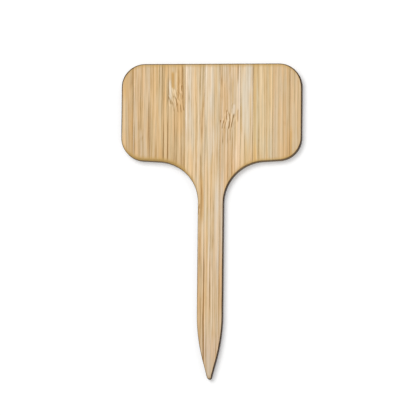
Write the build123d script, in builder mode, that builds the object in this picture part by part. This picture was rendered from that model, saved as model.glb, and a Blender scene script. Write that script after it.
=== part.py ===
"""A T-shaped plant label stake, laser-cut from a thin sheet of laminated bamboo.

A bamboo culm has a wall only a few millimetres thick, so no flat board this
wide can be cut from one. The sheet is narrow strips of culm wall, stood on
edge side by side and glued, with their grain along the stake. The finished
stake is what the laser leaves of each strip and of each glue line.

Millimetres. +Z runs up the stake, and its origin is the tip of the point.
+X runs across the label to the right and the written face looks along -Y.
"""

import os
from math import radians, sin, tan

from build123d import *

# Whole stake
overall_height = 112.0
head_width = 64.0
sheet_thickness = 3.0

# Head, the part that is written on
head_height = 34.0  # from the top edge to the underside, at its outer ends
head_corner_radius = 8.2
underside_drop = 1.6  # how much lower the underside runs in to the stem
flare_radius = 14.7  # hollow between the underside and the stem

# Stem and point
stem_width = 9.1
point_half_angle = 15.0
shoulder_radius = 63.0  # eases the straight stem into the point
tip_radius = 0.8

# Finish of the laser-cut outline
broken_edge = 0.12

# Lamination
glue_line = 0.1
# Where the glue lines stand, from the left end of the head, in head widths
joint_shares = (0.066, 0.157, 0.260, 0.354, 0.463, 0.547, 0.659, 0.730, 0.839, 0.935)

# How far the cutting solids run past what they cut
overrun = 5.0


def stake_corners():
    """Sharp corners of the outline, down the right side, each with its radius."""
    stem_half = stem_width / 2
    half_angle = radians(point_half_angle)
    sharp_tip = tip_radius - tip_radius / sin(half_angle)
    shoulder = sharp_tip + stem_half / tan(half_angle)
    underside = overall_height - head_height
    right = [
        ((head_width / 2, overall_height), head_corner_radius),
        ((head_width / 2, underside), head_corner_radius),
        ((stem_half, underside - underside_drop), flare_radius),
        ((stem_half, shoulder), shoulder_radius),
    ]
    left = [((-x, z), radius) for (x, z), radius in reversed(right)]
    return right + [((0, sharp_tip), tip_radius)] + left


def cut_blank():
    """The whole stake as the laser leaves it, with both edges of its rim eased."""
    points, radii = zip(*stake_corners())
    with BuildPart() as blank:
        with BuildSketch(Plane.XZ) as outline:
            with BuildLine():
                FilletPolyline(*points, radius=radii, close=True)
            make_face()
        extrude(amount=sheet_thickness / 2, both=True)
        rims = blank.faces().filter_by(Axis.Y).edges()
        chamfer(rims, length=broken_edge)
    return blank


def keep_between(blank, left, right):
    """What the blank holds between two upright planes across the head."""
    with BuildPart() as kept:
        with Locations(((left + right) / 2, 0, overall_height / 2)):
            Box(right - left, sheet_thickness + overrun, overall_height + overrun)
        add(blank.part, mode=Mode.INTERSECT)
    return kept


def write(piece, name):
    piece.part.label = name
    export_step(piece.part, f"parts/{name}.step")


os.makedirs("parts", exist_ok=True)
blank = cut_blank()
joints = [head_width * (share - 0.5) for share in joint_shares]

# Strips of culm wall, from left to right, each from one glue line to the next
lefts = [-head_width / 2 - overrun] + [joint + glue_line / 2 for joint in joints]
rights = [joint - glue_line / 2 for joint in joints] + [head_width / 2 + overrun]
for number, (left, right) in enumerate(zip(lefts, rights), start=1):
    write(keep_between(blank, left, right), f"bamboo_strip_{number:02d}")

# Cured glue between each two strips
for number, joint in enumerate(joints, start=1):
    film = keep_between(blank, joint - glue_line / 2, joint + glue_line / 2)
    write(film, f"glue_line_{number:02d}")
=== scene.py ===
from math import atan, cos, pi, radians, sin, tan

import bmesh
import bpy
from mathutils import Matrix, Vector
from mathutils.bvhtree import BVHTree


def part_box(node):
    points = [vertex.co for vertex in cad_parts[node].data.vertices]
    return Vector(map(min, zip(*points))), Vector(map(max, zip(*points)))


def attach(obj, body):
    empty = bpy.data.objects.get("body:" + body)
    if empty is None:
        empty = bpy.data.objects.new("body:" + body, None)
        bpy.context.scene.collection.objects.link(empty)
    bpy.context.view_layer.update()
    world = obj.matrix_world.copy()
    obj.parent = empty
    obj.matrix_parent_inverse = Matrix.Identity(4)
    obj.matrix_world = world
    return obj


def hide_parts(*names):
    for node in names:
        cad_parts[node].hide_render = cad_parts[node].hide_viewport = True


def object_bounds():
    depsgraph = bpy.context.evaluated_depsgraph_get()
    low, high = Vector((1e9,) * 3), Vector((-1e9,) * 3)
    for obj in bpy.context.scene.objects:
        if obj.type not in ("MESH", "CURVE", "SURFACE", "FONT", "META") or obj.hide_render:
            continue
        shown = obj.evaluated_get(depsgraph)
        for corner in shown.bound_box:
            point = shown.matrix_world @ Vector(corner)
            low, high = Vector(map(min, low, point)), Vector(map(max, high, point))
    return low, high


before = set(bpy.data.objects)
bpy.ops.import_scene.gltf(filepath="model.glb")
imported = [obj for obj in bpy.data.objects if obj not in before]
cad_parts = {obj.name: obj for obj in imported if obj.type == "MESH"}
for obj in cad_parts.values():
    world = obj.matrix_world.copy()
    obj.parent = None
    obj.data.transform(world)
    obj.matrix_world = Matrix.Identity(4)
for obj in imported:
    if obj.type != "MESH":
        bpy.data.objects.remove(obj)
cad_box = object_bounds()


# Camera
# The photograph's view: a long lens, a little to the right of the stake and
# below its middle, so that the right and the lower cut edges just show.
mm = 0.001
azimuth = radians(6)
elevation = radians(-7)
roll = radians(0.55)
camera_distance = 3000 * mm
aim = Vector((-1.05 * mm, 4.78 * mm, camera_distance))

stake_middle = Vector((0, 0, (cad_box[0].z + cad_box[1].z) / 2))
turn = (
    Matrix.Rotation(azimuth, 3, "Z")
    @ Matrix.Rotation(pi / 2 - elevation, 3, "X")
    @ Matrix.Rotation(roll, 3, "Z")
)
camera = bpy.data.objects.new("camera", bpy.data.cameras.new("camera"))
camera.data.sensor_width = 36
camera.data.lens = 736
camera.data.clip_start = 0.1
camera.data.clip_end = 20
camera.matrix_world = Matrix.Translation(stake_middle + turn @ aim) @ turn.to_4x4()
bpy.context.collection.objects.link(camera)
bpy.context.scene.camera = camera


# Blank
# The bamboo board, 3 mm thick, as the laser leaves it: a wide head with round
# corners, a hollow flare into the stem, and a point. It is modelled whole, and
# every strip and glue line is then sliced out of a copy, so they all meet.
head_half = cad_box[1].x
top_edge = cad_box[1].z
sheet_thickness = cad_box[1].y - cad_box[0].y
head_height = 34 * mm
head_corner_radius = 8.2 * mm
underside_drop = 1.6 * mm
flare_radius = 14.7 * mm
stem_half = 4.55 * mm
point_half_angle = radians(15)
shoulder_radius = 63 * mm
tip_radius = 0.8 * mm
eased_edge = 0.12 * mm
grid = 1.0 * mm
touching = 0.001 * mm

underside = top_edge - head_height
underside_slope = atan(underside_drop / (head_half - stem_half))
sharp_tip = tip_radius - tip_radius / sin(point_half_angle)
shoulder = sharp_tip + stem_half / tan(point_half_angle)
tip_turn = pi / 2 - point_half_angle
tip_half = tip_radius * tan(tip_turn / 2)


def pick(wanted):
    """Selects the vertices of the mesh being edited whose place is wanted."""
    bpy.ops.mesh.select_all(action="DESELECT")
    mesh = bmesh.from_edit_mesh(bpy.context.object.data)
    for vertex in mesh.verts:
        vertex.select = wanted(vertex.co)
    mesh.select_flush(True)
    bmesh.update_edit_mesh(bpy.context.object.data)


def slice_at(place, way, **keep):
    """Cuts the mesh being edited by a plane."""
    bpy.ops.mesh.select_all(action="SELECT")
    bpy.ops.mesh.bisect(plane_co=place, plane_no=way, threshold=touching / 10, **keep)


def near(a, b):
    return abs(a - b) < touching


def round_off(corners, radius, corner_turn, steps):
    """Rounds the corners, where the outline turns by corner_turn, to a true arc."""
    pick(corners)
    sharpness = cos(corner_turn / 2) / (1 + cos(corner_turn / 2))
    bpy.ops.mesh.bevel(
        offset=radius * tan(corner_turn / 2),
        profile=((1 + sharpness) / 2) ** 2,
        segments=steps,
        affect="VERTICES",
        clamp_overlap=False,
    )


bpy.ops.object.select_all(action="DESELECT")
bpy.ops.mesh.primitive_plane_add(
    size=1, location=(0, 0, (underside + top_edge) / 2), rotation=(pi / 2, 0, 0)
)
blank = bpy.context.object
blank.name = "blank"
blank.scale = (2 * head_half, head_height, 1)
bpy.ops.object.transform_apply(location=True, rotation=True, scale=True)

bpy.ops.object.mode_set(mode="EDIT")
bpy.context.tool_settings.mesh_select_mode = (True, False, False)
for side in (-stem_half, stem_half):
    slice_at((side, 0, 0), (1, 0, 0))
pick(lambda p: near(p.z, underside) and abs(p.x) < head_half - touching)
bpy.ops.transform.translate(value=(0, 0, -underside_drop))
stem_top = underside - underside_drop
pick(lambda p: near(p.z, stem_top))
bpy.ops.mesh.extrude_edges_move(
    TRANSFORM_OT_translate={"value": (0, 0, shoulder - stem_top)}
)
bpy.ops.mesh.extrude_edges_move(TRANSFORM_OT_translate={"value": (0, 0, -shoulder)})
bpy.ops.transform.resize(value=(tip_half / stem_half, 1, 1), center_override=(0, 0, 0))
bpy.ops.mesh.select_all(action="SELECT")
bpy.ops.mesh.dissolve_faces()
pick(lambda p: near(p.z, top_edge) and abs(p.x) < head_half - touching)
bpy.ops.mesh.dissolve_verts()

side_turn = pi / 2 - underside_slope
round_off(lambda p: near(p.z, top_edge), head_corner_radius, pi / 2, steps=24)
round_off(lambda p: near(p.z, underside), head_corner_radius, side_turn, steps=24)
round_off(lambda p: near(p.z, stem_top), flare_radius, side_turn, steps=30)
round_off(lambda p: near(p.z, shoulder), shoulder_radius, point_half_angle, steps=12)
round_off(lambda p: near(p.z, 0), tip_radius, tip_turn, steps=8)
bpy.ops.mesh.select_all(action="SELECT")
bpy.ops.mesh.remove_doubles(threshold=touching)
bpy.ops.mesh.normals_make_consistent(inside=False)
bpy.ops.object.mode_set(mode="OBJECT")

board = blank.modifiers.new("board thickness", "SOLIDIFY")
board.thickness = sheet_thickness
board.offset = 0
eased = blank.modifiers.new("eased edges", "BEVEL")
eased.width = eased_edge
eased.segments = 2
eased.angle_limit = radians(60)
eased.use_clamp_overlap = False
for modifier in (board, eased):
    bpy.ops.object.modifier_apply(modifier=modifier.name)

bpy.ops.object.mode_set(mode="EDIT")
for line in range(round(top_edge / grid)):
    slice_at((0, 0, (line + 0.5) * grid), (0, 0, 1))
for line in range(round(2 * head_half / grid)):
    slice_at(((line + 0.5) * grid - head_half, 0, 0), (1, 0, 0))
bpy.ops.object.mode_set(mode="OBJECT")

# How far each point of the faces lies from the laser's cut, and how squarely
# the cut crosses the fibres there, for the scorch that the beam leaves
walls = [face for face in blank.data.polygons if abs(face.normal.y) < 0.1]
cut_walls = BVHTree.FromPolygons(
    [vertex.co for vertex in blank.data.vertices], [face.vertices for face in walls]
)
from_cut = blank.data.attributes.new("from_cut", "FLOAT", "POINT")
across_fibres = blank.data.attributes.new("across_fibres", "FLOAT", "POINT")
for number, vertex in enumerate(blank.data.vertices):
    flat = Vector((vertex.co.x, 0, vertex.co.z))
    _, normal, _, distance = cut_walls.find_nearest(flat)
    from_cut.data[number].value = distance / mm
    across_fibres.data[number].value = abs(normal.z)


def slice_out(node, name):
    """A copy of the blank, cut down to what lies between the node's two sides."""
    low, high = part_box(node)
    bpy.ops.object.select_all(action="DESELECT")
    blank.select_set(True)
    bpy.context.view_layer.objects.active = blank
    bpy.ops.object.duplicate()
    piece = bpy.context.object
    piece.name = piece.data.name = name
    bpy.ops.object.mode_set(mode="EDIT")
    if low.x > touching - head_half:
        slice_at((low.x, 0, 0), (1, 0, 0), use_fill=True, clear_inner=True)
    if high.x < head_half - touching:
        slice_at((high.x, 0, 0), (1, 0, 0), use_fill=True, clear_outer=True)
    bpy.ops.mesh.select_all(action="SELECT")
    bpy.ops.mesh.normals_make_consistent(inside=False)
    bpy.ops.object.mode_set(mode="OBJECT")
    bpy.ops.object.shade_smooth_by_angle(angle=radians(20))
    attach(piece, "root")
    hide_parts(node)
    return piece


# Bamboo strips
# Eleven strips of culm wall, stood on edge and glued side by side, with their
# fibres along the stake. Each strip has its own tone and its own fibre bundles,
# and some hold a growth node of the culm, where the fibres swirl.
def add_node(tree, kind, inputs=(), **settings):
    """A shader node. Each input is a plain value or the output that feeds it."""
    made = tree.nodes.new("ShaderNode" + kind)
    for name, value in settings.items():
        setattr(made, name, value)
    for socket, value in dict(inputs).items():
        if isinstance(value, bpy.types.NodeSocket):
            tree.links.new(value, made.inputs[socket])
        else:
            made.inputs[socket].default_value = value
    return made


def maths(tree, operation, *values, clamp=False):
    made = add_node(tree, "Math", enumerate(values), operation=operation, use_clamp=clamp)
    return made.outputs[0]


def eased_range(tree, value, start, end, first=0.0, last=1.0):
    """Runs smoothly from first to last as the value goes from start to end."""
    inputs = enumerate((value, start, end, first, last))
    return add_node(tree, "MapRange", inputs, interpolation_type="SMOOTHSTEP").outputs[0]


def mix_colours(tree, share, first, second):
    inputs = {0: share, 6: first, 7: second}
    return add_node(tree, "Mix", inputs, data_type="RGBA").outputs[2]


def multiply_colours(tree, first, second):
    inputs = {0: 1.0, 6: first, 7: second}
    return add_node(tree, "Mix", inputs, data_type="RGBA", blend_type="MULTIPLY").outputs[2]


def start_group(name, takes, gives):
    """A node group with plain number sockets, and its input and output nodes."""
    tree = bpy.data.node_groups.new(name, "ShaderNodeTree")
    for socket in takes:
        tree.interface.new_socket(name=socket, in_out="INPUT", socket_type="NodeSocketFloat")
    for socket in gives:
        tree.interface.new_socket(name=socket, in_out="OUTPUT", socket_type="NodeSocketFloat")
    given = tree.nodes.new("NodeGroupInput").outputs
    result = tree.nodes.new("NodeGroupOutput").inputs
    return tree, given, result


def use_group(tree, group, **inputs):
    """Places a group in a material. Input names use _ for a space."""
    made = tree.nodes.new("ShaderNodeGroup")
    made.node_tree = group
    for name, value in inputs.items():
        socket = made.inputs[name.replace("_", " ")]
        if isinstance(value, bpy.types.NodeSocket):
            tree.links.new(value, socket)
        else:
            socket.default_value = value
    return made.outputs


def place_in_mm(tree):
    """The three object coordinates, in millimetres."""
    coordinates = add_node(tree, "TexCoord").outputs["Object"]
    scaled = add_node(tree, "VectorMath", {0: coordinates, "Scale": 1 / mm}, operation="SCALE")
    return add_node(tree, "SeparateXYZ", {0: scaled.outputs[0]}).outputs


def streaks(tree, x, y, z, width, length, detail):
    """Noise from 0 to 1, drawn out along the fibres in streaks of this size in mm."""
    inputs = {
        0: maths(tree, "DIVIDE", x, width),
        1: maths(tree, "DIVIDE", y, width),
        2: maths(tree, "DIVIDE", z, length),
    }
    vector = add_node(tree, "CombineXYZ", inputs).outputs[0]
    noise = add_node(tree, "TexNoise", {"Vector": vector, "Scale": 1.0, "Detail": detail})
    return noise.outputs[0]


def swing(tree, x, y, z, width, length, detail):
    """The same streaks, but swinging about 0."""
    return maths(tree, "SUBTRACT", streaks(tree, x, y, z, width, length, detail), 0.5)


def add_layers(tree, x, y, z, layers):
    """The sum of several layers of streaks that swing about 0."""
    total = 0.0
    for width, length, detail, strength in layers:
        layer = swing(tree, x, y, z, width, length, detail)
        total = maths(tree, "MULTIPLY_ADD", layer, strength, total)
    return total


def end_group(tree, result, **values):
    """Hands the finished values to the group's outputs."""
    for name, value in values.items():
        tree.links.new(value, result[name])


# The fibres. Across is the place across the grain once the grain has wandered,
# and Rippled the plain place across the strip with a short ripple in it. Tint is
# the wide bands of tone and Grain the fine streaks. Fading makes the drawn fibres
# come and go along their length, and Warmth and Pores are masks. Noises that have
# to differ are read at other heights, and each strip's own at others again: these
# offsets are in mm.
strip_offset = 311.0
crisp_offset = 47.0
warmth_offset = 89.0
fading_offset = 131.0
grain_wander = 0.45
side_ripple = 0.35
depth_stretch = 3.0

# Width and length in mm, detail and strength of each layer of streaks. Those with
# crisp sides have no detail.
tint_layers = ((2.4, 60, 1, 0.14), (1.1, 30, 1, 0.30))
grain_layers = ((0.42, 20, 1, 0.18), (0.28, 9, 1, 0.32), (0.5, 6, 2, 0.50))
crisp_layers = ((0.5, 60, 0.045), (0.31, 36, 0.155))

fibre_group, given, result = start_group(
    "bamboo fibres",
    ("Seed", "Swirl"),
    ("Across", "Rippled", "Depth", "Height", "Tint", "Grain", "Fading", "Warmth", "Pores"),
)
x, y, z = place_in_mm(fibre_group)
seeded = maths(fibre_group, "MULTIPLY", given["Seed"], strip_offset)
seeded = maths(fibre_group, "ADD", z, seeded)
stretched = maths(fibre_group, "MULTIPLY", y, depth_stretch)
drift = swing(fibre_group, x, stretched, seeded, width=7.0, length=34.0, detail=1)
wander = maths(fibre_group, "MULTIPLY", drift, grain_wander)
across = maths(fibre_group, "ADD", maths(fibre_group, "ADD", x, wander), given["Swirl"])
ripple = swing(fibre_group, x, y, seeded, width=1.1, length=3.0, detail=1)
rippled = maths(fibre_group, "MULTIPLY_ADD", ripple, side_ripple, x)
tint = add_layers(fibre_group, across, y, seeded, tint_layers)
grain = add_layers(fibre_group, across, y, seeded, grain_layers)
apart = maths(fibre_group, "ADD", seeded, crisp_offset)
for width, length, strength in crisp_layers:
    crisp = streaks(fibre_group, across, y, apart, width, length, detail=0)
    crisp = eased_range(fibre_group, crisp, 0.42, 0.58, first=-strength, last=strength)
    grain = maths(fibre_group, "ADD", grain, crisp)
apart = maths(fibre_group, "ADD", seeded, warmth_offset)
warmth = streaks(fibre_group, across, y, apart, width=1.7, length=20, detail=2)
warmth = eased_range(fibre_group, warmth, 0.34, 0.66)
pores = streaks(fibre_group, across, y, seeded, width=0.17, length=3.0, detail=1)
pores = eased_range(fibre_group, pores, 0.6, 0.78)
apart = maths(fibre_group, "ADD", seeded, fading_offset)
fading = streaks(fibre_group, across, y, apart, width=0.9, length=10, detail=1)
fading = eased_range(fibre_group, fading, 0.32, 0.68, first=0.65, last=1.3)
end_group(
    fibre_group, result, Across=across, Rippled=rippled, Depth=y, Height=z, Tint=tint,
    Grain=grain, Fading=fading, Warmth=warmth, Pores=pores,
)

# One fibre bundle, a long line or a short stroke. It fades towards its two sides,
# and towards its ends past this share of its reach.
end_fade_from = 0.55

bundle_group, given, result = start_group(
    "fibre bundle",
    ("Across", "Height", "Place", "Width", "Middle", "Reach", "Lean", "Bend"),
    ("Mask",),
)
above = maths(bundle_group, "SUBTRACT", given["Height"], given["Middle"])
steepness = maths(bundle_group, "MULTIPLY_ADD", above, given["Bend"], given["Lean"])
leant = maths(bundle_group, "MULTIPLY_ADD", above, steepness, given["Place"])
beside = maths(bundle_group, "ABSOLUTE", maths(bundle_group, "SUBTRACT", given["Across"], leant))
off_side = maths(bundle_group, "DIVIDE", beside, given["Width"])
off_end = maths(bundle_group, "DIVIDE", maths(bundle_group, "ABSOLUTE", above), given["Reach"])
side_fade = eased_range(bundle_group, off_side, 1, 0)
end_fade = eased_range(bundle_group, off_end, 1, end_fade_from)
mask = maths(bundle_group, "MULTIPLY", side_fade, end_fade)
end_group(bundle_group, result, Mask=mask)

# A growth node of the culm, where the fibres are short and run aslant. Mask is
# where it lies, as an oval with a full middle, Swirl moves the grain sideways
# there, and Slanted is the tone of the short fibres.
full_middle = 0.25

growth_group, given, result = start_group(
    "growth node",
    ("Place", "Middle", "Width", "Reach", "Lean", "Twist"),
    ("Mask", "Swirl", "Slanted"),
)
x, y, z = place_in_mm(growth_group)
above = maths(growth_group, "SUBTRACT", z, given["Middle"])
beside = maths(growth_group, "SUBTRACT", x, given["Place"])
off_end = maths(growth_group, "DIVIDE", above, given["Reach"])
off_side = maths(growth_group, "DIVIDE", beside, given["Width"])
squares = maths(growth_group, "MULTIPLY", off_end, off_end)
squares = maths(growth_group, "MULTIPLY_ADD", off_side, off_side, squares)
mask = eased_range(growth_group, squares, 1, full_middle)
curl = swing(growth_group, x, y, z, width=1.5, length=3.2, detail=1)
curl = maths(growth_group, "MULTIPLY", curl, given["Twist"])
swirl = maths(growth_group, "MULTIPLY", curl, mask)
leant = maths(growth_group, "SUBTRACT", x, maths(growth_group, "MULTIPLY", above, given["Lean"]))
leant = maths(growth_group, "ADD", leant, curl)
slanted = streaks(growth_group, leant, y, z, width=0.45, length=2.8, detail=1)
slanted = eased_range(growth_group, slanted, 0.36, 0.64, first=-1.0, last=1.0)
end_group(growth_group, result, Mask=mask, Swirl=swirl, Slanted=slanted)

# The laser's edge. Char is the black of the cut wall and of the rim beside it,
# the end grain mask says where the wall crosses the fibres and the char is lighter,
# partly as painted bounce light, Toast is the brown band next to the rim, and Scorch
# the golden one that fades into the face. In all of this, x is counted in mm from
# the stake's middle, z from its tip, and distance from the cut.
laser_group, given, result = start_group(
    "laser edge", (), ("Char", "Endgrain", "Toast", "Scorch", "Striations")
)
x, y, z = place_in_mm(laser_group)
distance = add_node(laser_group, "Attribute", attribute_name="from_cut").outputs["Fac"]
square_cut = add_node(laser_group, "Attribute", attribute_name="across_fibres").outputs["Fac"]
end_grain_with_bounce = eased_range(laser_group, square_cut, 0.3, 0.95)
unevenness = 0.7
ragged = swing(laser_group, x, y, z, width=0.5, length=1.2, detail=2)
ragged = maths(laser_group, "MULTIPLY_ADD", ragged, unevenness, distance)

# Smoke stains the underside of the head, and more so towards its left
lower_head = eased_range(laser_group, z, 100, 85)
leftwards = eased_range(laser_group, x, 20, -14, first=0.35, last=1)
smoke = maths(laser_group, "MULTIPLY", lower_head, leftwards)
smoke = maths(laser_group, "MULTIPLY", smoke, square_cut)

# The scorch reaches far where the cut crosses the fibres, and furthest at the top
# edge and where the smoke is. It is faint on the upright sides and down the stem.
side_reach = 0.8
side_scorch = 0.15
cross_scorch = 0.45
smoke_scorch = 0.35
cross_reach = eased_range(laser_group, z, 104, 111, first=0.4, last=0.9)
reach = maths(laser_group, "MULTIPLY_ADD", square_cut, cross_reach, side_reach)
reach = maths(laser_group, "ADD", reach, smoke)
scorch = eased_range(laser_group, maths(laser_group, "DIVIDE", ragged, reach), 1, 0.05)
strength = maths(laser_group, "MULTIPLY_ADD", square_cut, cross_scorch, side_scorch)
strength = maths(laser_group, "ADD", strength, maths(laser_group, "MULTIPLY", smoke, smoke_scorch))
at_top = eased_range(laser_group, z, 104, 111, first=0, last=0.12)
strength = maths(laser_group, "ADD", strength, at_top)
up_the_stem = eased_range(laser_group, z, 0, 75, first=0.15, last=1)
strength = maths(laser_group, "MULTIPLY", strength, up_the_stem)
scorch = maths(laser_group, "MULTIPLY", scorch, strength)

# The toast lies closer to the cut, and the smoke widens it
toast_reach = maths(laser_group, "MULTIPLY_ADD", smoke, 0.8, 0.4)
toast = eased_range(laser_group, maths(laser_group, "DIVIDE", ragged, toast_reach), 1, 0.2)
toast_strength = maths(laser_group, "MULTIPLY_ADD", square_cut, 0.4, 0.3)
toast = maths(laser_group, "MULTIPLY", toast, toast_strength)

# The rim of char is thinner at the tip, and on the left from the underside down,
# where the thinner rim is painted light on the side the lamp falls on.
# It is wider on the head's top corners, most so on the right one, and on the
# upright cuts to the right, where the wider rim is painted shade on the side away
# from the lamp. These widths are in mm too.
rim_width = 0.42
full_char = 0.22
thinner = 0.19
wider_corner = 0.1
wider_right_corner = 0.05
right_shade_widening = 0.06
rim_ragged = 0.1
# Painted light: a thinner rim on the left, the side facing the lamp
lit_left_thinning = eased_range(laser_group, x, 0.4, -0.4)
lit_left_thinning = maths(laser_group, "MULTIPLY", lit_left_thinning, eased_range(laser_group, z, 94, 80))
thin_rim = maths(laser_group, "MAXIMUM", lit_left_thinning, eased_range(laser_group, z, 1.6, 0.4))
char = maths(laser_group, "MULTIPLY_ADD", ragged, rim_ragged, distance)
char = maths(laser_group, "MULTIPLY_ADD", thin_rim, thinner, char)
right_side = eased_range(laser_group, x, -5, 5)
corner = eased_range(laser_group, z, 102, 106)
corner = maths(laser_group, "MULTIPLY", corner, eased_range(laser_group, square_cut, 1.0, 0.85))
on_arc = eased_range(laser_group, square_cut, 0.3, 0.6)
on_arc = maths(laser_group, "MAXIMUM", right_side, on_arc)
corner = maths(laser_group, "MULTIPLY", corner, on_arc)
wider = maths(laser_group, "MULTIPLY_ADD", right_side, -wider_right_corner, -wider_corner)
char = maths(laser_group, "MULTIPLY_ADD", corner, wider, char)
# Painted shade: a wider rim on the right upright cuts, the side away from the lamp
upright_cut = maths(laser_group, "SUBTRACT", 1.0, square_cut)
shaded_right_upright = maths(laser_group, "MULTIPLY", right_side, upright_cut)
char = maths(laser_group, "MULTIPLY_ADD", shaded_right_upright, -right_shade_widening, char)
char = eased_range(laser_group, char, rim_width, full_char)

# The beam leaves fine lines through the sheet, from one face to the other
line_fineness = 20.0
fine_x = maths(laser_group, "MULTIPLY", x, line_fineness)
fine_z = maths(laser_group, "MULTIPLY", z, line_fineness)
striations = streaks(laser_group, fine_x, y, fine_z, width=4.5, length=4.5, detail=2)
end_group(
    laser_group, result, Char=char, Endgrain=end_grain_with_bounce, Toast=toast, Scorch=scorch,
    Striations=striations,
)

scorched = (0.55, 0.345, 0.105, 1)
toasted = (0.33, 0.205, 0.065, 1)
char_dark = (0.028, 0.012, 0.004, 1)
char_brown = (0.065, 0.030, 0.010, 1)
# How far the heat darkens the wood's own colour on the end grain: less than on the
# side walls, as painted bounce light on the walls that face up and down
end_dark_with_bounce = (0.16, 0.14, 0.12, 1)
end_brown_with_bounce = (0.38, 0.35, 0.30, 1)


def burn_edges(tree, colour):
    """Lays the scorch, the toast and the char over a colour."""
    laser = use_group(tree, laser_group)
    # The end grain walls get a lighter char than the side walls, partly as painted bounce light
    end_grain_with_bounce = mix_colours(tree, laser["Striations"], end_dark_with_bounce, end_brown_with_bounce)
    end_grain_with_bounce = multiply_colours(tree, colour, end_grain_with_bounce)
    side_char = mix_colours(tree, laser["Striations"], char_dark, char_brown)
    burnt = mix_colours(tree, laser["Endgrain"], side_char, end_grain_with_bounce)
    colour = mix_colours(tree, laser["Scorch"], colour, scorched)
    colour = mix_colours(tree, laser["Toast"], colour, toasted)
    return mix_colours(tree, laser["Char"], colour, burnt), laser


def surface(tree, colour, roughness, height, depth):
    """The wood's own shader, with a fine relief."""
    bump = add_node(tree, "Bump", {"Height": height, "Strength": 1.0, "Distance": depth})
    inputs = {
        "Base Color": colour, "Roughness": roughness, "Normal": bump.outputs[0],
        "Specular IOR Level": 0.12,
    }
    shader = add_node(tree, "BsdfPrincipled", inputs)
    tree.links.new(shader.outputs[0], add_node(tree, "OutputMaterial").inputs[0])


def shade_of(colour, shares):
    """The colour, with these shares of its red, green and blue."""
    red, green, blue = (part * share for part, share in zip(colour, shares))
    return (red, green, blue, 1)


def shade_ramp(tree, value, stops, colour=(1, 1, 1)):
    """Shades of the colour, on a ramp from 0 to 1 with a shade at each stop."""
    ramp = add_node(tree, "ValToRGB", {0: value})
    first, *between, last = stops
    elements = ramp.color_ramp.elements
    elements[0].color = shade_of(colour, first[1])
    elements[1].color = shade_of(colour, last[1])
    for place, shares in between:
        elements.new(place).color = shade_of(colour, shares)
    return ramp.outputs[0]


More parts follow.
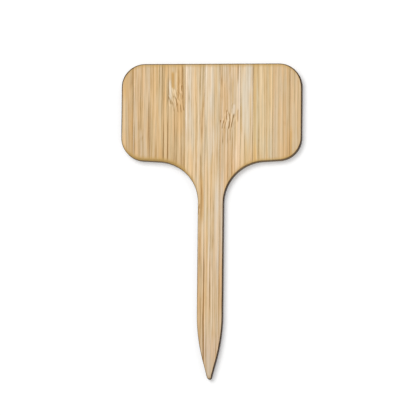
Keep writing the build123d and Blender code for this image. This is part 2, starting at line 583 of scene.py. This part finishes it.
# For each strip: its own colour, how strong its fine grain is beside that of the
# fourth, the wide bands where its tint runs to gold or cream, its fibre bundles,
# the short strokes where its fibres swirl, and its growth node.
# A tint and a bundle are: place across the strip as a share of its width, half
# width in mm, strength (under 0 gold or dark, over 0 cream or pale), and lowest
# and highest end as shares of the stake's height.
# A stroke, all in mm, is: place from the strip's left side, height, half width,
# half length, lean to the right for each mm upwards, bend, and then its strength.
# A growth node is: place, height, half width, reach, lean of the short fibres,
# twist in mm, and how strongly the short fibres show.
strip_finish = {
    1: {
        "colour": (0.655, 0.465, 0.263),
        "contrast": 0.5,
        "tints": [
            (0.90, 1.0, -0.4, 0.6, 1.1), (0.32, 1.4, -0.8, 0.87, 1.10), (0.28, 1.0, -0.4, 0.72, 0.94),
        ],
        "bundles": [
            (0.22, 0.30, 0.8, 0.68, 0.95), (0.26, 0.35, 1.5, 0.70, 1.02), (0.63, 0.30, -1.1, 0.66, 0.92),
            (0.71, 0.30, -1.2, 0.90, 1.06), (0.70, 0.30, -1.1, 0.66, 0.80),
            (0.87, 0.34, -1.2, 0.91, 1.06), (0.97, 0.36, -1.2, 0.66, 1.10),
            (0.48, 0.30, -0.6, 0.60, 1.10),
        ],
    },
    2: {
        "colour": (0.645, 0.471, 0.281),
        "contrast": 0.95,
        "tints": [
            (0.20, 1.2, -0.2, 0.6, 0.84), (0.62, 1.5, 0.05, 0.74, 0.95), (0.26, 1.1, 0.4, 0.84, 1.1),
            (0.50, 1.2, -0.6, 0.77, 0.90),
        ],
        "bundles": [
            (0.04, 0.32, -1.1, 0.60, 0.83), (0.10, 0.32, 0.8, 0.74, 0.93), (0.22, 0.32, 0.7, 0.60, 1.10),
            (0.34, 0.32, -1.3, 0.60, 0.85), (0.43, 0.40, -0.8, 0.83, 0.97),
            (0.48, 0.34, -0.8, 0.74, 1.10), (0.59, 0.32, -1.3, 0.66, 0.80), (0.59, 0.30, 0.6, 0.80, 0.90),
            (0.65, 0.32, 0.9, 0.87, 1.06), (0.71, 0.32, -1.0, 0.92, 1.06), (0.83, 0.36, 0.9, 0.60, 1.10),
            (0.89, 0.34, 0.8, 0.60, 1.10), (0.96, 0.36, -1.8, 0.66, 0.91), (0.95, 0.32, 0.8, 0.90, 1.06),
            (0.04, 0.32, 0.7, 0.86, 1.10),
        ],
        "growth": (2.6, 86.5, 1.6, 3.0, 0.1, 0.6, 0.4),
    },
    3: {
        "colour": (0.653, 0.466, 0.255),
        "contrast": 0.95,
        "tints": [
            (0.35, 1.2, -0.6, 0.88, 1.1), (0.37, 1.5, 0.3, 0.60, 0.86), (0.72, 1.6, -0.3, 0.85, 1.1),
            (0.15, 1.1, -0.4, 0.70, 0.88),
        ],
        "bundles": [
            (0.02, 0.36, -1.4, 0.60, 0.92), (0.36, 0.60, -0.45, 0.60, 0.86),
            (0.39, 0.32, -1.4, 0.80, 1.10), (0.46, 0.32, 0.9, 0.74, 1.10), (0.51, 0.30, -1.1, 0.91, 1.06),
            (0.61, 0.34, 1.2, 0.76, 1.10), (0.67, 0.36, -1.5, 0.80, 1.10), (0.76, 0.34, -1.2, 0.60, 1.05),
            (0.82, 0.30, -0.7, 0.86, 1.06), (0.86, 0.36, 1.5, 0.60, 1.10), (0.98, 0.34, -1.2, 0.86, 0.97),
            (0.98, 0.34, -1.6, 0.60, 0.85), (0.17, 0.30, -0.3, 0.60, 1.10), (0.28, 0.30, 0.5, 0.60, 1.10),
        ],
    },
    4: {
        "colour": (0.655, 0.456, 0.24),
        "tints": [
            (0.235, 0.85, -2.3, 0.915, 0.98), (0.05, 1.15, 2.0, 0.875, 0.955),
            (0.60, 1.4, -0.6, 0.90, 1.10), (0.84, 1.2, 0.2, 0.84, 0.94), (0.75, 1.4, 0.4, 0.60, 0.80),
            (0.70, 0.8, 0.6, 0.86, 1.05),
        ],
        "bundles": [
            (0.14, 0.40, 0.7, 0.86, 1.08), (0.48, 0.40, 1.0, 0.92, 1.06), (0.80, 0.32, -0.8, 0.87, 1.06),
            (0.98, 0.32, 1.2, 0.86, 1.08), (0.36, 0.32, -0.8, 0.60, 0.88), (0.51, 0.32, -1.1, 0.60, 0.82),
            (0.64, 0.40, 0.9, 0.60, 0.86), (0.79, 0.32, -1.3, 0.60, 0.88), (0.90, 0.32, -1.4, 0.60, 0.83),
            (0.20, 0.30, -0.6, 0.60, 0.88),
        ],
        "strokes": [
            (3.6, 105.5, 0.30, 6.0, 0, 0, -2.2), (5.1, 105.0, 0.36, 7.5, 0, 0, -2.0),
            (4.5, 103.2, 0.42, 1.4, 0.1, 0, -1.8), (-0.05, 101.8, 0.34, 2.8, 0, 0, -2.4),
            (2.9, 101.6, 0.34, 1.6, 0.15, 0, -1.5), (1.9, 100.8, 0.30, 0.9, 0, 0, -1.7),
            (0.5, 99.0, 0.38, 1.8, -0.29, 0, -2.6), (2.8, 98.7, 0.38, 2.0, -0.20, 0, -2.8),
            (1.7, 96.7, 0.32, 2.1, -0.13, 0, -1.9), (3.2, 96.1, 0.32, 1.8, -0.17, 0, -1.6),
            (4.4, 96.1, 0.34, 1.8, -0.22, 0, -1.9), (5.2, 97.1, 0.34, 2.2, -0.13, 0, -1.8),
            (2.7, 105.0, 0.50, 5.2, -0.02, 0, 1.4), (0.8, 102.3, 0.60, 2.8, -0.05, 0, 0.9),
            (1.5, 102.1, 0.34, 1.8, -0.20, 0, 1.7), (2.4, 101.3, 0.36, 2.1, -0.24, 0, 2.4),
            (0.1, 98.3, 0.34, 1.7, -0.29, 0, 2.4), (2.3, 98.4, 0.34, 1.6, -0.30, 0, 2.4),
            (4.2, 103.3, 0.34, 2.0, -0.10, 0, 1.7), (3.6, 98.0, 0.30, 1.8, -0.24, 0, 1.2),
        ],
        "growth": (2.4, 100.3, 3.2, 4.6, -0.33, 0.9, 0.8),
    },
    5: {
        "colour": (0.731, 0.55, 0.337),
        "contrast": 0.95,
        "tints": [
            (0.10, 2.4, 1.5, 0.70, 1.30), (0.56, 1.2, 0.6, 0.45, 0.75), (0.36, 1.1, 0.4, 0.86, 1.10),
            (0.86, 1.4, -0.9, 0.48, 0.66), (0.60, 1.3, 0.7, 0.61, 0.71), (0.96, 0.9, 0.3, 0.86, 1.10),
        ],
        "bundles": [
            (0.06, 0.45, 1.1, 0.77, 1.10), (0.06, 0.45, 0.4, 0.60, 0.78), (0.19, 0.30, -1.0, 0.74, 0.93),
            (0.40, 0.30, -0.8, 0.74, 1.10), (0.45, 0.32, 1.0, 0.80, 1.10), (0.60, 0.32, -1.1, 0.60, 0.88),
            (0.66, 0.36, 0.8, 0.76, 1.02), (0.73, 0.34, -0.8, 0.74, 1.10), (0.79, 0.34, -0.6, 0.60, 1.10),
            (0.85, 0.34, -1.0, 0.74, 0.97), (0.91, 0.34, -0.8, 0.52, 0.88),
            (0.92, 0.34, -1.5, 0.80, 1.10), (0.29, 0.30, -0.5, 0.60, 1.10),
            (0.84, 0.40, -1.1, -0.20, 0.46), (0.93, 0.36, 0.9, -0.20, 0.60),
            (0.82, 1.10, -0.4, -0.30, 0.50), (0.985, 0.34, -1.6, 0.05, 0.42),
            (0.80, 0.80, -0.5, 0.62, 0.72), (0.86, 0.90, -0.3, 0.40, 0.64),
            (0.93, 0.80, -0.35, 0.04, 0.24), (0.96, 0.80, 0.3, 0.86, 1.10),
        ],
        "strokes": [
            (6.3, 61.0, 1.1, 7.0, 0, 0, -0.55), (4.9, 59.9, 0.42, 1.9, 0, 0, -3.2),
            (5.4, 61.3, 0.32, 1.1, 0, 0, -1.8),
        ],
        "growth": (4.8, 60.0, 1.4, 3.2, 0.1, 0.6, 0.5),
    },
    6: {
        "colour": (0.742, 0.595, 0.412),
        "contrast": 0.55,
        "tints": [
            (0.30, 1.6, 0.05, 0.74, 1.10), (0.80, 1.3, -0.5, 0.76, 1.10), (0.85, 1.2, 0.7, 0.30, 0.66),
            (0.50, 1.2, -0.3, 0.50, 0.74), (0.18, 1.1, -0.8, 0.16, 0.64), (0.40, 1.0, 0.4, 0.68, 0.82),
            (0.54, 0.9, -0.5, 0.39, 0.52), (0.74, 0.9, -0.4, 0.86, 1.10), (0.56, 1.1, 0.5, 0.70, 0.81),
        ],
        "bundles": [
            (0.06, 0.34, 1.2, 0.80, 1.10), (0.40, 0.32, 0.6, 0.85, 1.10), (0.64, 0.32, -0.7, 0.74, 1.00),
            (0.73, 0.32, -0.8, 0.86, 1.10), (0.86, 0.32, -0.8, 0.60, 0.95),
            (0.84, 0.32, -1.0, 0.66, 0.82), (0.09, 0.34, -0.8, 0.70, 0.82),
            (0.94, 0.34, -1.3, 0.92, 1.07), (0.93, 0.32, -0.9, 0.80, 0.92),
            (0.99, 0.32, -1.0, 0.60, 1.10), (0.52, 0.30, -0.6, 0.60, 1.10),
            (0.035, 0.38, -2.8, -0.25, 0.50), (0.11, 0.34, 1.4, 0.05, 0.80),
            (0.20, 0.34, -1.3, -0.05, 0.80), (0.34, 0.32, 0.9, 0.15, 0.75),
            (0.42, 0.34, -1.3, 0.10, 0.65), (0.62, 0.34, -1.3, 0.10, 0.62),
            (0.85, 1.20, -0.7, -0.20, 0.50), (0.50, 1.20, -0.4, -0.20, 0.42),
            (0.58, 0.45, 1.3, 0.14, 0.38), (0.54, 0.90, -0.3, 0.38, 0.62),
            (0.20, 0.90, -0.25, 0.34, 0.56),
        ],
    },
    7: {
        "colour": (0.692, 0.507, 0.308),
        "contrast": 0.9,
        "tints": [
            (0.62, 0.60, -0.9, 0.86, 0.96), (0.95, 1.0, 0.7, 0.60, 1.10), (0.80, 1.2, -0.6, 0.74, 0.87),
            (0.35, 1.2, 0.5, 0.88, 1.10), (0.10, 0.8, 0.5, 0.78, 0.90), (0.70, 0.8, 0.9, 0.83, 0.875),
            (0.12, 1.2, 1.4, 0.34, 0.70), (0.78, 1.2, 1.1, 0.60, 0.75),
        ],
        "bundles": [
            (0.07, 0.34, -1.0, 0.92, 1.07), (0.07, 0.34, -1.1, 0.80, 0.97),
            (0.12, 0.34, -1.3, 0.60, 0.80), (0.34, 0.32, 0.9, 0.60, 0.84), (0.40, 0.32, -1.2, 0.60, 0.79),
            (0.54, 0.32, -1.0, 0.86, 0.97), (0.84, 0.36, 1.0, 0.62, 0.97), (0.88, 0.34, -1.1, 0.92, 1.07),
            (0.97, 0.40, 0.8, 0.60, 1.10), (0.24, 0.30, -0.4, 0.60, 1.10), (0.62, 0.32, -1.0, 0.60, 0.79),
            (0.74, 0.30, -0.8, 0.60, 0.84), (0.70, 0.30, -0.8, 0.88, 1.10),
            (0.15, 1.10, -0.8, -0.30, 0.34),
        ],
        "strokes": [
            (-0.3, 102.6, 0.3, 3.0, -0.15, 0, -1.0), (2.3, 93.7, 0.32, 2.2, 0, 0, -3.0),
            (3.5, 91.7, 0.40, 3.6, 0.02, -0.055, -3.2), (4.4, 91.6, 0.42, 3.1, 0.20, 0, -3.8),
            (3.6, 87.1, 0.30, 3.1, 0, 0, -1.8), (-0.2, 90.8, 0.42, 1.3, 0.37, 0, -2.8),
            (0.9, 90.3, 0.38, 1.8, 0.13, 0, -2.8), (1.7, 90.1, 0.28, 1.6, 0.05, 0, -1.5),
            (1.0, 86.4, 0.34, 3.6, 0, 0, -1.5), (6.3, 93.5, 0.32, 2.8, 0, 0, -2.4),
            (4.9, 90.1, 0.28, 1.6, 0.13, 0, -1.8), (4.4, 96.9, 0.30, 1.2, 0, 0, -1.4),
            (3.9, 96.0, 0.28, 1.8, 0, 0, -1.4), (2.75, 93.2, 0.38, 2.0, -0.07, 0, 2.8),
            (2.5, 90.5, 0.36, 2.0, 0, 0, 1.6), (3.85, 91.5, 0.34, 3.4, 0.09, 0, 2.8),
            (5.1, 91.0, 0.36, 2.6, 0.22, 0, 1.6), (5.0, 95.8, 0.50, 2.0, 0, 0, 0.9),
            (5.9, 90.5, 0.40, 2.0, 0, 0, 0.9), (2.6, 86.0, 0.30, 3.2, 0, 0, -1.3),
        ],
        "growth": (3.0, 91.6, 3.2, 4.0, 0.2, 0.9, 0.8),
    },
    8: {
        "colour": (0.722, 0.572, 0.382),
        "contrast": 0.6,
        "tints": [
            (0.80, 1.0, 0.9, 0.88, 1.10), (0.50, 2.4, -0.8, 0.48, 0.80), (0.50, 1.4, 0.5, 0.84, 1.10),
            (0.05, 0.8, -0.9, 0.77, 0.88),
        ],
        "bundles": [
            (0.05, 0.34, -0.7, 0.70, 0.92), (0.13, 0.32, -0.5, 0.76, 0.90), (0.10, 0.36, 0.4, 0.60, 0.80),
            (0.21, 0.36, 0.35, 0.60, 0.95), (0.36, 0.32, -1.0, 0.60, 0.82), (0.60, 0.45, 0.5, 0.70, 0.90),
            (0.76, 0.30, -0.6, 0.70, 0.84), (0.85, 0.30, -0.7, 0.62, 0.88),
            (1.00, 0.34, -1.5, 0.60, 1.10),
        ],
    },
    9: {
        "colour": (0.687, 0.523, 0.308),
        "contrast": 0.8,
        "tints": [(0.10, 1.1, -0.8, 0.50, 1.20), (0.90, 1.1, 0.6, 0.60, 0.88)],
        "bundles": [
            (0.20, 0.34, 0.9, 0.60, 1.00), (0.28, 0.34, -0.95, 0.60, 1.10), (0.42, 0.40, 0.9, 0.60, 1.10),
            (0.55, 0.34, 0.8, 0.60, 1.10), (0.61, 0.30, -0.6, 0.60, 1.10), (0.70, 0.36, -0.3, 0.60, 1.10),
            (0.82, 0.34, -0.7, 0.60, 1.10), (0.92, 0.38, 1.1, 0.60, 1.10),
        ],
    },
    10: {
        "colour": (0.665, 0.476, 0.27),
        "contrast": 0.56,
        "tints": [(0.10, 1.2, 0.3, 0.60, 0.92), (0.92, 1.0, -0.35, 0.50, 1.20)],
        "bundles": [
            (0.24, 0.34, 0.6, 0.60, 0.97), (0.46, 0.45, 0.7, 0.60, 1.10), (0.51, 0.32, 0.4, 0.60, 1.10),
            (0.59, 0.36, -0.7, 0.60, 1.10), (0.85, 0.32, -0.6, 0.60, 1.10),
            (0.99, 0.36, -1.0, 0.60, 1.10), (0.36, 0.30, -0.5, 0.60, 1.10),
        ],
    },
    11: {
        "colour": (0.655, 0.478, 0.28),
        "contrast": 0.42,
        "tints": [
            (0.80, 1.2, -0.3, 0.70, 1.20), (0.50, 1.2, -0.2, 0.50, 0.85), (0.08, 0.9, -1.4, 0.64, 0.81),
        ],
        "bundles": [
            (0.24, 0.45, 0.7, 0.60, 0.97), (0.35, 0.30, -1.2, 0.84, 1.06), (0.52, 0.40, 0.7, 0.60, 0.97),
            (0.66, 0.30, -0.7, 0.74, 0.97), (0.75, 0.32, 0.8, 0.76, 0.97), (0.12, 0.34, 0.3, 0.60, 1.10),
        ],
    },
}

# A strip's colour from its most golden tint to its creamiest, what the darkest
# and the palest fibres make of it, and how the wood ages from the tip (0) to the
# top edge (1): each a place on a ramp, with shares of red, green and blue
tint_shades = (
    (0, (0.87, 0.69, 0.41)), (0.25, (0.95, 0.86, 0.67)), (0.5, (1, 1, 1)),
    (0.75, (1.035, 1.11, 1.29)), (1, (1.06, 1.19, 1.52)),
)
fibre_shades = (
    (0, (0.50, 0.38, 0.23)), (0.25, (0.83, 0.76, 0.63)), (0.5, (1, 1, 1)),
    (0.75, (1.16, 1.17, 1.21)), (1, (1.30, 1.33, 1.40)),
)
ageing_shades = (
    (0, (0.83, 0.80, 0.79)), (0.04, (0.86, 0.835, 0.84)), (0.085, (0.89, 0.86, 0.90)),
    (0.12, (0.93, 0.90, 0.92)), (0.15, (0.95, 0.905, 0.865)), (0.22, (0.975, 0.89, 0.79)),
    (0.36, (0.95, 0.91, 0.885)), (0.52, (0.955, 0.92, 0.87)), (0.67, (0.98, 0.93, 0.85)),
    (0.75, (1, 1, 1)), (1, (1, 1, 1)),
)
cool_wood = (0.957, 1.01, 1.085, 1)
warm_wood = (1.043, 0.99, 0.92, 1)
middle_tone = 0.5
bundle_strength = 0.25
stroke_strength = 0.21
pore_strength = 0.14
short_fibre_strength = 0.24
grain_hidden_by_node = 0.7
marks_on_back = 0.35
seed_step = 1.37
fibre_relief = 0.04 * mm


def bamboo(number, colour, low, high, contrast=1.0, tints=(), bundles=(), strokes=(), growth=None):
    """The finish of one strip."""
    material = bpy.data.materials.new(f"bamboo_{number:02d}")
    material.use_nodes = True
    tree = material.node_tree
    tree.nodes.clear()
    left_side = low.x / mm
    width = (high.x - low.x) / mm
    stake_height = top_edge / mm
    swirl = 0.0
    if growth:
        place, height, half_width, reach, lean, twist, node_strength = growth
        growth_node = use_group(
            tree, growth_group, Place=left_side + place, Middle=height, Width=half_width,
            Reach=reach, Lean=lean, Twist=twist,
        )
        swirl = growth_node["Swirl"]
    fibres = use_group(tree, fibre_group, Seed=number * seed_step, Swirl=swirl)
    grain = maths(tree, "MULTIPLY", fibres["Grain"], contrast)
    if growth:
        hidden = grain_hidden_by_node * node_strength
        kept = maths(tree, "MULTIPLY_ADD", growth_node["Mask"], -hidden, 1.0)
        short = maths(tree, "MULTIPLY", growth_node["Mask"], short_fibre_strength * node_strength)
        grain = maths(tree, "MULTIPLY", grain, kept)
        grain = maths(tree, "MULTIPLY_ADD", growth_node["Slanted"], short, grain)
    grain = maths(tree, "ADD", grain, middle_tone)
    tint = maths(tree, "ADD", fibres["Tint"], middle_tone)

    def marks(places):
        """The sum of the masks of tints or bundles, each times its strength."""
        total = 0.0
        for share, half_width, strength, lowest, highest in places:
            middle = (lowest + highest) / 2 * stake_height
            mask = use_group(
                tree, bundle_group, Across=fibres["Across"], Height=fibres["Height"],
                Place=left_side + share * width, Width=half_width,
                Middle=middle, Reach=highest * stake_height - middle,
            )["Mask"]
            total = maths(tree, "MULTIPLY_ADD", mask, strength * bundle_strength, total)
        return total

    # Tints and drawn fibres grow fainter through the board, from front to back
    through = eased_range(tree, fibres["Depth"], 1.2, -1.2, first=marks_on_back, last=1)
    tint = maths(tree, "MULTIPLY_ADD", marks(tints), through, tint)
    drawn = maths(tree, "MULTIPLY", marks(bundles), fibres["Fading"])
    for place, height, half_width, half_length, lean, bend, strength in strokes:
        mask = use_group(
            tree, bundle_group, Across=fibres["Rippled"], Height=fibres["Height"],
            Place=left_side + place, Width=half_width, Middle=height, Reach=half_length,
            Lean=lean, Bend=bend,
        )["Mask"]
        drawn = maths(tree, "MULTIPLY_ADD", mask, strength * stroke_strength, drawn)
    grain = maths(tree, "MULTIPLY_ADD", drawn, through, grain)
    grain = maths(tree, "MULTIPLY_ADD", fibres["Pores"], -pore_strength, grain, clamp=True)

    wood = shade_ramp(tree, tint, tint_shades, colour)
    lines = shade_ramp(tree, grain, fibre_shades)
    upwards = maths(tree, "DIVIDE", fibres["Height"], stake_height)
    ageing = shade_ramp(tree, upwards, ageing_shades)
    warmth = mix_colours(tree, fibres["Warmth"], cool_wood, warm_wood)
    for factor in (lines, ageing, warmth):
        wood = multiply_colours(tree, wood, factor)
    colour, laser = burn_edges(tree, wood)
    roughness = eased_range(tree, grain, 0.1, 0.8, first=0.5, last=0.66)
    striated = maths(tree, "MULTIPLY", laser["Striations"], laser["Char"])
    height = maths(tree, "ADD", grain, striated)
    surface(tree, colour, roughness, height, fibre_relief)
    return material


for number, finish in strip_finish.items():
    node = f"bamboo_strip_{number:02d}"
    strip = slice_out(node, f"strip_{number:02d}")
    low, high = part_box(node)
    strip.data.materials.append(bamboo(number, low=low, high=high, **finish))


# Glue lines
# Ten films of cured glue, about 0.1 mm thick, between the strips. They are cut
# and charred with the board, and show as thin amber lines on both faces.
glue_amber = (0.40, 0.25, 0.11, 1)
glue_brown = (0.26, 0.14, 0.055, 1)
glue_relief = 0.01 * mm

glue = bpy.data.materials.new("cured_glue")
glue.use_nodes = True
tree = glue.node_tree
tree.nodes.clear()
x, y, z = place_in_mm(tree)
uneven = streaks(tree, x, y, z, width=2.0, length=9.0, detail=2)
uneven = eased_range(tree, uneven, 0.35, 0.65)
amber = mix_colours(tree, uneven, glue_brown, glue_amber)
colour, laser = burn_edges(tree, amber)
roughness = eased_range(tree, uneven, 0, 1, first=0.35, last=0.5)
surface(tree, colour, roughness, uneven, glue_relief)
for number in range(1, len(strip_finish)):
    node = f"glue_line_{number:02d}"
    film = slice_out(node, f"glue_{number:02d}")
    film.data.materials.append(glue)
bpy.data.objects.remove(blank)


# Stage
# A white board right behind the stake, as if the stake lay on it, and a pale
# floor under its point. Both show only from the front, and take its shadow.
stage_size = 4.0
board_gap = 0.05 * mm
floor_gap = 0.3 * mm
sheet_white = (0.8, 0.8, 0.8, 1)
sheet_lift = 0.275
room_light = 0.55


def stage_material(name, colour, lift):
    """A pale surface that is seen from its front only, lifted towards white."""
    material = bpy.data.materials.new(name)
    material.use_nodes = True
    tree = material.node_tree
    tree.nodes.clear()
    path = add_node(tree, "LightPath").outputs
    seen = maths(tree, "MAXIMUM", path["Is Camera Ray"], path["Is Glossy Ray"])
    seen = maths(tree, "MAXIMUM", seen, path["Is Transmission Ray"])
    paint = add_node(tree, "BsdfDiffuse", {"Color": colour}).outputs[0]
    glow = add_node(tree, "Emission", {"Strength": maths(tree, "MULTIPLY", seen, lift)}).outputs[0]
    front = add_node(tree, "AddShader", {0: paint, 1: glow}).outputs[0]
    clear = add_node(tree, "BsdfTransparent").outputs[0]
    behind = add_node(tree, "NewGeometry").outputs["Backfacing"]
    both = add_node(tree, "MixShader", {0: behind, 1: front, 2: clear}).outputs[0]
    tree.links.new(both, add_node(tree, "OutputMaterial").inputs[0])
    return material


def stage_sheet(name, place, turned, material):
    """A square sheet that throws neither light nor shadow on the stake."""
    bpy.ops.object.select_all(action="DESELECT")
    bpy.ops.mesh.primitive_plane_add(size=stage_size, location=place, rotation=turned)
    sheet = bpy.context.object
    sheet.name = name
    sheet.data.materials.append(material)
    sheet.visible_diffuse = False
    sheet.visible_shadow = False


back_face = cad_box[1].y
white = stage_material("white_board", sheet_white, sheet_lift)
stage_sheet("board", (0, back_face + board_gap, stake_middle.z), (pi / 2, 0, 0), white)
stage_sheet("floor", (0, 0, -floor_gap), (0, 0, 0), white)

# An even room light, which is plain white where it is seen
world = bpy.data.worlds.new("studio")
bpy.context.scene.world = world
world.use_nodes = True
tree = world.node_tree
tree.nodes.clear()
path = add_node(tree, "LightPath").outputs
seen = maths(tree, "MAXIMUM", path["Is Camera Ray"], path["Is Transmission Ray"])
level = maths(tree, "MULTIPLY_ADD", seen, 1 - room_light, room_light)
backdrop = add_node(tree, "Background", {"Color": (1, 1, 1, 1), "Strength": level}).outputs[0]
tree.links.new(backdrop, add_node(tree, "OutputWorld").inputs[0])


def softbox(name, place, size, power):
    """A square studio lamp that faces the middle of the stake."""
    lamp = bpy.data.objects.new(name, bpy.data.lights.new(name, "AREA"))
    lamp.data.size = size
    lamp.data.energy = power
    lamp.location = place
    lamp.rotation_euler = (Vector(place) - stake_middle).to_track_quat("Z", "Y").to_euler()
    bpy.context.collection.objects.link(lamp)


softbox("key_softbox", (-0.7, -2.5, 0.85), 1.3, 39.5)
softbox("back_softbox", (1.0, 2.4, 1.2), 1.6, 40)

bpy.context.scene.view_settings.view_transform = "Standard"
